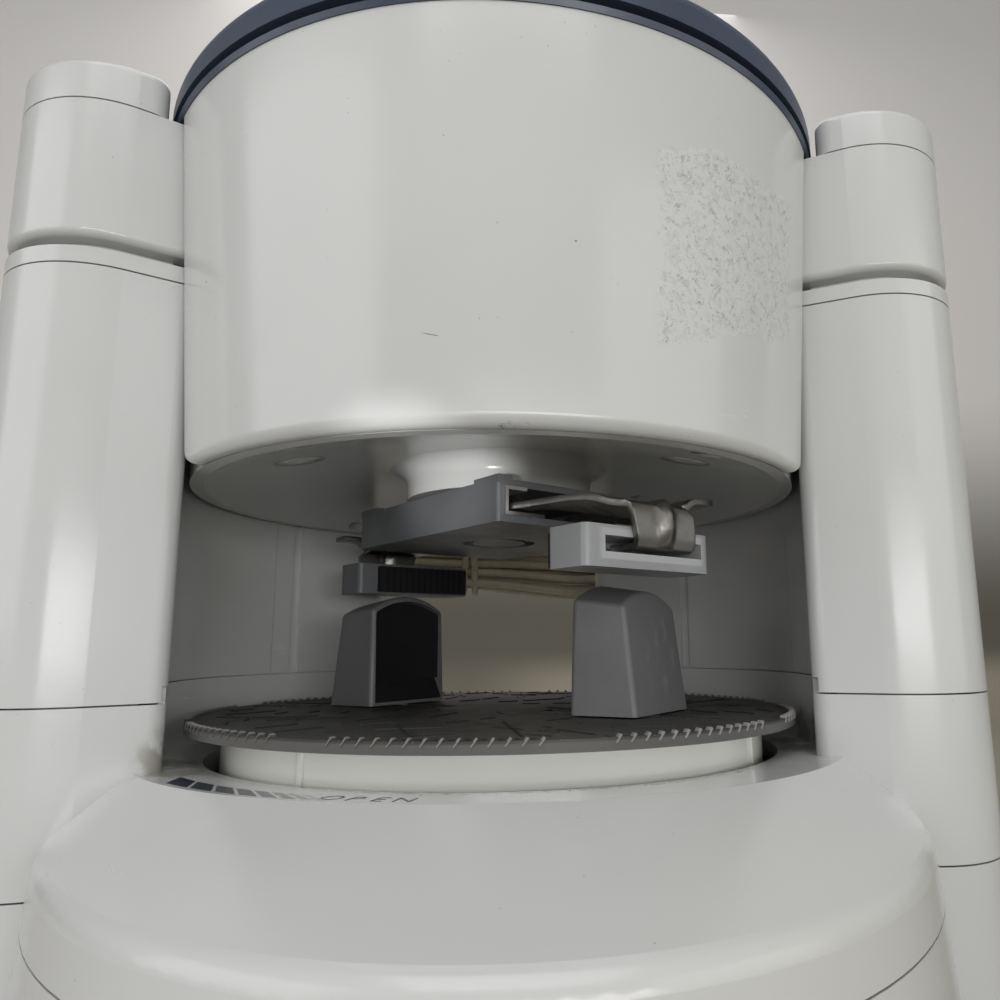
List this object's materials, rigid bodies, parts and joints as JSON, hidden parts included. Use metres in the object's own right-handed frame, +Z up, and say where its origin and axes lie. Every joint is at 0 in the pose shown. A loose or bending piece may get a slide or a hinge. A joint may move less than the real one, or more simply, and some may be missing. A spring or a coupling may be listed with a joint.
{
  "type": "jar_opener",
  "caption": "Electric jar opener: turntable with sliding jar jaws in a domed base, two side columns and a lift-up head with a rotating lid gripper and a press-top cap",
  "frame": {"origin": "On the counter under the turntable's axis, at the bottom of the rubber feet", "axes": "+X to the user's right, -Y towards the user at the front, +Z up"},
  "size_m": [0.232, 0.2495, 0.213],
  "materials": {
    "white_gloss": "glossy moulded white",
    "head_inner_white": "glossy moulded off-white",
    "navy_satin": "satin slate blue",
    "dark_mat": "matte dark grey soft-touch",
    "jaw_grey": "matte dark grey soft-touch",
    "black_rubber": "matte black",
    "holder_grey": "satin light grey",
    "gripper_grey": "satin mid grey",
    "nickel_steel": "dull nickel-plated stamping",
    "bright_steel": "turned steel",
    "white_pom": "natural acetal",
    "brass_bearing": "sintered bronze",
    "black_plastic": "matte black",
    "motor_steel": "zinc-plated can",
    "board_green": "solder mask",
    "belt_black": "matte black",
    "cord_beige": "aged off-white flexible vinyl"
  },
  "bodies": {
    "base": {"base_cover": "white_gloss", "base_tray": "white_gloss", "base_screws": "bright_steel", "rubber_feet": "black_rubber", "column_front_left": "white_gloss", "column_front_right": "white_gloss", "column_rear_left": "white_gloss", "column_rear_right": "white_gloss", "column_caps": "white_gloss", "lift_motor": "motor_steel", "lift_belt": "belt_black", "control_board": "board_green", "turntable_post": "bright_steel", "strain_relief": "cord_beige", "cord_lead": "cord_beige", "cord_tail": "cord_beige", "cord_hank": "cord_beige", "cord_tie": "cord_beige", "cord_hooks": "white_gloss", "plug": "cord_beige"},
    "head": {"head_front_shell": "white_gloss", "head_drum": "head_inner_white", "head_underside": "white_gloss", "underside_screws": "bright_steel", "shoulder_left": "white_gloss", "shoulder_right": "white_gloss", "shoulder_tops": "white_gloss", "head_slides": "head_inner_white", "lift_nuts": "white_pom", "rim_band": "navy_satin", "gear_chassis": "black_plastic", "drive_motor": "motor_steel", "power_switch": "black_plastic", "spindle_bearing": "brass_bearing", "button_spring": "bright_steel"},
    "button": {"top_button": "navy_satin"},
    "gripper": {"gripper_housing": "gripper_grey", "gripper_liners": "nickel_steel", "gripper_spindle": "white_pom", "output_gear": "white_pom"},
    "lid_jaw_front": {"grip_arm_front": "nickel_steel", "pad_holder_front": "holder_grey", "lid_pad_front": "black_rubber"},
    "lid_jaw_rear": {"grip_arm_rear": "nickel_steel", "pad_holder_rear": "holder_grey", "lid_pad_rear": "black_rubber"},
    "lid_pinion": {"lid_pinion": "white_pom"},
    "idler_gear": {"idler_gear": "white_pom"},
    "motor_pinion": {"motor_pinion": "white_pom"},
    "turntable": {"turntable_drum": "white_gloss", "turntable_mat": "dark_mat", "jaw_carrier_plate": "black_plastic"},
    "jar_jaw_left": {"jar_jaw_left": "jaw_grey", "jar_pad_left": "black_rubber"},
    "jar_jaw_right": {"jar_jaw_right": "jaw_grey", "jar_pad_right": "black_rubber"},
    "jar_pinion": {"jar_pinion": "white_pom"},
    "lift_screw_left": {"lift_screw_left": "bright_steel"},
    "lift_screw_right": {"lift_screw_right": "bright_steel"},
    "lift_motor_pulley": {"lift_motor_pulley": "white_pom"}
  },
  "joints": [
    {"name": "head_lift", "type": "slide", "parent": "base", "child": "head", "axis": [0, 0, 1], "range_m": [0, 0.125]},
    {"name": "lift_screw_left_turn", "type": "hinge", "parent": "base", "child": "lift_screw_left", "pos_m": [-0.097, 0, 0], "axis": [0, 0, 1], "range_deg": [0, 3751]},
    {"name": "lift_screw_right_turn", "type": "hinge", "parent": "base", "child": "lift_screw_right", "pos_m": [0.097, 0, 0], "axis": [0, 0, 1], "range_deg": [0, 3751]},
    {"name": "lift_motor_turn", "type": "hinge", "parent": "base", "child": "lift_motor_pulley", "pos_m": [0, 0.004, 0], "axis": [0, 0, 1], "range_deg": [0, 6251]},
    {"name": "button_press", "type": "slide", "parent": "head", "child": "button", "axis": [0, 0, -1], "range_m": [0, 0.0018], "stiffness_N_per_m": 900, "springref_m": -0.004, "deforming": ["button_spring"]},
    {"name": "gripper_turn", "type": "hinge", "parent": "head", "child": "gripper", "pos_m": [0, 0, 0], "axis": [0, 0, 1], "continuous": true},
    {"name": "idler_turn", "type": "hinge", "parent": "head", "child": "idler_gear", "pos_m": [0, 0.045, 0], "axis": [0, 0, 1], "continuous": true},
    {"name": "drive_motor_turn", "type": "hinge", "parent": "head", "child": "motor_pinion", "pos_m": [-0.02711, 0.03619, 0], "axis": [0, 0, 1], "continuous": true},
    {"name": "lid_jaw_front_slide", "type": "slide", "parent": "gripper", "child": "lid_jaw_front", "axis": [0.5592, -0.829, 0], "range_m": [-0.0225, 0.014]},
    {"name": "lid_jaw_rear_slide", "type": "slide", "parent": "gripper", "child": "lid_jaw_rear", "axis": [-0.5592, 0.829, 0], "range_m": [-0.0225, 0.014]},
    {"name": "lid_pinion_turn", "type": "hinge", "parent": "gripper", "child": "lid_pinion", "pos_m": [0, 0, 0], "axis": [0, 0, 1], "range_deg": [-93, 58]},
    {"name": "turntable_turn", "type": "hinge", "parent": "base", "child": "turntable", "pos_m": [0, 0, 0], "axis": [0, 0, 1], "continuous": true},
    {"name": "jar_jaw_left_slide", "type": "slide", "parent": "turntable", "child": "jar_jaw_left", "axis": [-0.7912, 0.6115, 0], "range_m": [-0.018, 0.0195]},
    {"name": "jar_jaw_right_slide", "type": "slide", "parent": "turntable", "child": "jar_jaw_right", "axis": [0.7912, -0.6115, 0], "range_m": [-0.018, 0.0195]},
    {"name": "jar_pinion_turn", "type": "hinge", "parent": "turntable", "child": "jar_pinion", "pos_m": [0, 0, 0], "axis": [0, 0, 1], "range_deg": [-140, 130]}
  ],
  "couplings": [
    {"joint": "lift_screw_left_turn", "follows": "head_lift", "rad_per_m": 523.6},
    {"joint": "lift_screw_right_turn", "follows": "head_lift", "rad_per_m": 523.6},
    {"joint": "lift_motor_turn", "follows": "head_lift", "rad_per_m": 872.66},
    {"joint": "idler_turn", "follows": "gripper_turn", "ratio": -4},
    {"joint": "drive_motor_turn", "follows": "gripper_turn", "ratio": 15},
    {"joint": "lid_jaw_rear_slide", "follows": "lid_jaw_front_slide", "ratio": 1},
    {"joint": "lid_pinion_turn", "follows": "lid_jaw_front_slide", "rad_per_m": 71.429},
    {"joint": "jar_jaw_right_slide", "follows": "jar_jaw_left_slide", "ratio": 1},
    {"joint": "jar_pinion_turn", "follows": "jar_jaw_left_slide", "rad_per_m": -125}
  ]
}
